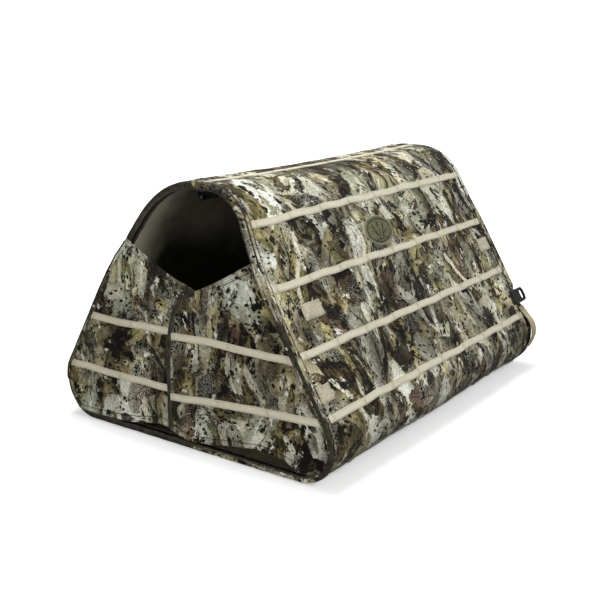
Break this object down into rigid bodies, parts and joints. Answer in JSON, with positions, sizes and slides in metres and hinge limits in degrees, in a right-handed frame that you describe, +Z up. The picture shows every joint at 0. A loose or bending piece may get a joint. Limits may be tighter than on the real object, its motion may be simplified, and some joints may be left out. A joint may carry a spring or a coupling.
{
  "type": "pop up ground blind",
  "caption": "Low tunnel-shaped camouflage ground blind with rounded-trapezoid hoop ends, split fabric doors, lengthwise stubble straps and a folding internal frame.",
  "frame": {"origin": "on the ground at the middle of the footprint, midway between the two hoop planes", "axes": "+Z up, the front doors face -Y, the blind is longest along Y, +X is its right-hand side"},
  "size_m": [0.7553, 0.9726, 0.5638],
  "materials": {
    "camo_fabric": "woven polyester with a marsh camouflage print, matte",
    "floor_fabric": "coated polyester, matte",
    "binding_tape": "folded woven tape, matte",
    "tan_webbing": "flat woven polypropylene webbing",
    "hook_and_loop": "loop pile tape",
    "woven_patch": "woven patch with a merrowed edge",
    "spring_steel": "blued spring steel",
    "aluminium_bar": "mill finish",
    "black_plastic": "moulded acetal, satin"
  },
  "bodies": {
    "root": {"front_hoop": "spring_steel", "front_hoop_ferrule": "aluminium_bar", "front_hoop_binding": "binding_tape", "cover_shell": "camo_fabric", "floor_panel": "floor_fabric", "ridge_strap": "tan_webbing", "right_strap_1": "tan_webbing", "right_strap_2": "tan_webbing", "right_strap_3": "tan_webbing", "right_strap_4": "tan_webbing", "left_strap_1": "tan_webbing", "left_strap_2": "tan_webbing", "left_strap_3": "tan_webbing", "left_strap_4": "tan_webbing", "right_front_upper_tab": "hook_and_loop", "right_front_lower_tab": "hook_and_loop", "right_rear_upper_tab": "hook_and_loop", "left_front_upper_tab": "hook_and_loop", "left_front_lower_tab": "hook_and_loop", "left_rear_upper_tab": "hook_and_loop", "oval_side_patch": "woven_patch", "ridge_stay_front_bracket": "black_plastic", "right_stay_front_bracket": "black_plastic", "left_stay_front_bracket": "black_plastic", "ridge_stay_front_pin": "spring_steel", "right_stay_front_pin": "spring_steel", "left_stay_front_pin": "spring_steel"},
    "ridge_front_link": {"ridge_stay_front_link": "aluminium_bar", "ridge_stay_knee_pin": "spring_steel"},
    "ridge_rear_link": {"ridge_stay_rear_link": "aluminium_bar"},
    "rear_frame": {"rear_hoop": "spring_steel", "rear_hoop_ferrule": "aluminium_bar", "rear_hoop_binding": "binding_tape", "ridge_stay_rear_bracket": "black_plastic", "right_stay_rear_bracket": "black_plastic", "left_stay_rear_bracket": "black_plastic", "ridge_stay_rear_pin": "spring_steel", "right_stay_rear_pin": "spring_steel", "left_stay_rear_pin": "spring_steel", "buckle_socket": "black_plastic", "closure_strap": "tan_webbing"},
    "right_front_link": {"right_stay_front_link": "aluminium_bar", "right_stay_knee_pin": "spring_steel"},
    "right_rear_link": {"right_stay_rear_link": "aluminium_bar"},
    "left_front_link": {"left_stay_front_link": "aluminium_bar", "left_stay_knee_pin": "spring_steel"},
    "left_rear_link": {"left_stay_rear_link": "aluminium_bar"},
    "front_right_door": {"front_right_door": "camo_fabric", "front_right_door_strap_1": "tan_webbing", "front_right_door_strap_2": "tan_webbing"},
    "front_left_door": {"front_left_door": "camo_fabric", "front_left_door_strap_1": "tan_webbing", "front_left_door_strap_2": "tan_webbing"},
    "rear_right_door": {"rear_right_door": "camo_fabric", "rear_right_door_strap_1": "tan_webbing", "rear_right_door_strap_2": "tan_webbing"},
    "rear_left_door": {"rear_left_door": "camo_fabric", "rear_left_door_strap_1": "tan_webbing", "rear_left_door_strap_2": "tan_webbing"},
    "buckle_plug": {"buckle_plug": "black_plastic"}
  },
  "joints": [
    {"name": "blind_fold", "type": "hinge", "parent": "root", "child": "ridge_front_link", "pos_m": [0, -0.40215, 0.5325], "axis": [-1, 0, 0], "range_deg": [0, 87], "deforming": ["cover_shell", "floor_panel", "ridge_strap", "right_strap_1", "right_strap_2", "right_strap_3", "right_strap_4", "left_strap_1", "left_strap_2", "left_strap_3", "left_strap_4", "right_front_upper_tab", "right_front_lower_tab", "right_rear_upper_tab", "left_front_upper_tab", "left_front_lower_tab", "left_rear_upper_tab", "oval_side_patch"]},
    {"name": "ridge_knee", "type": "hinge", "parent": "ridge_front_link", "child": "ridge_rear_link", "pos_m": [0, 0.02785, 0.5325], "axis": [-1, 0, 0], "range_deg": [-174, 0]},
    {"name": "ridge_rear_pivot", "type": "hinge", "parent": "ridge_rear_link", "child": "rear_frame", "pos_m": [0, 0.45785, 0.5325], "axis": [-1, 0, 0], "range_deg": [0, 87]},
    {"name": "right_front_pivot", "type": "hinge", "parent": "root", "child": "right_front_link", "pos_m": [0.32439, -0.43, 0.13763], "axis": [0.8608, 0, 0.509], "range_deg": [0, 87]},
    {"name": "right_knee", "type": "hinge", "parent": "right_front_link", "child": "right_rear_link", "pos_m": [0.32439, 0, 0.13763], "axis": [0.8608, 0, 0.509], "range_deg": [-174, 0]},
    {"name": "left_front_pivot", "type": "hinge", "parent": "root", "child": "left_front_link", "pos_m": [-0.32439, -0.43, 0.13763], "axis": [0.8608, 0, -0.509], "range_deg": [0, 87]},
    {"name": "left_knee", "type": "hinge", "parent": "left_front_link", "child": "left_rear_link", "pos_m": [-0.32439, 0, 0.13763], "axis": [0.8608, 0, -0.509], "range_deg": [-174, 0]},
    {"name": "front_right_door_hinge", "type": "hinge", "parent": "root", "child": "front_right_door", "pos_m": [0.28284, -0.4736, 0.26153], "axis": [-0.509, 0, 0.8608], "range_deg": [0, 245]},
    {"name": "front_left_door_hinge", "type": "hinge", "parent": "root", "child": "front_left_door", "pos_m": [-0.28284, -0.4736, 0.26153], "axis": [-0.509, 0, -0.8608], "range_deg": [0, 245]},
    {"name": "rear_left_door_hinge", "type": "hinge", "parent": "rear_frame", "child": "rear_left_door", "pos_m": [-0.28284, 0.4736, 0.26153], "axis": [-0.509, 0, -0.8608], "range_deg": [-245, 0]},
    {"name": "rear_right_door_hinge", "type": "hinge", "parent": "rear_frame", "child": "rear_right_door", "pos_m": [0.28284, 0.4736, 0.26153], "axis": [-0.509, 0, 0.8608], "range_deg": [-90, 0]},
    {"name": "buckle_release", "type": "slide", "parent": "rear_frame", "child": "buckle_plug", "axis": [0, 1, 0], "range_m": [0, 0.035]}
  ],
  "couplings": [
    {"joint": "ridge_knee", "follows": "blind_fold", "ratio": -2},
    {"joint": "ridge_rear_pivot", "follows": "blind_fold", "ratio": 1},
    {"joint": "right_front_pivot", "follows": "blind_fold", "ratio": 1},
    {"joint": "right_knee", "follows": "blind_fold", "ratio": -2},
    {"joint": "left_front_pivot", "follows": "blind_fold", "ratio": 1},
    {"joint": "left_knee", "follows": "blind_fold", "ratio": -2}
  ]
}
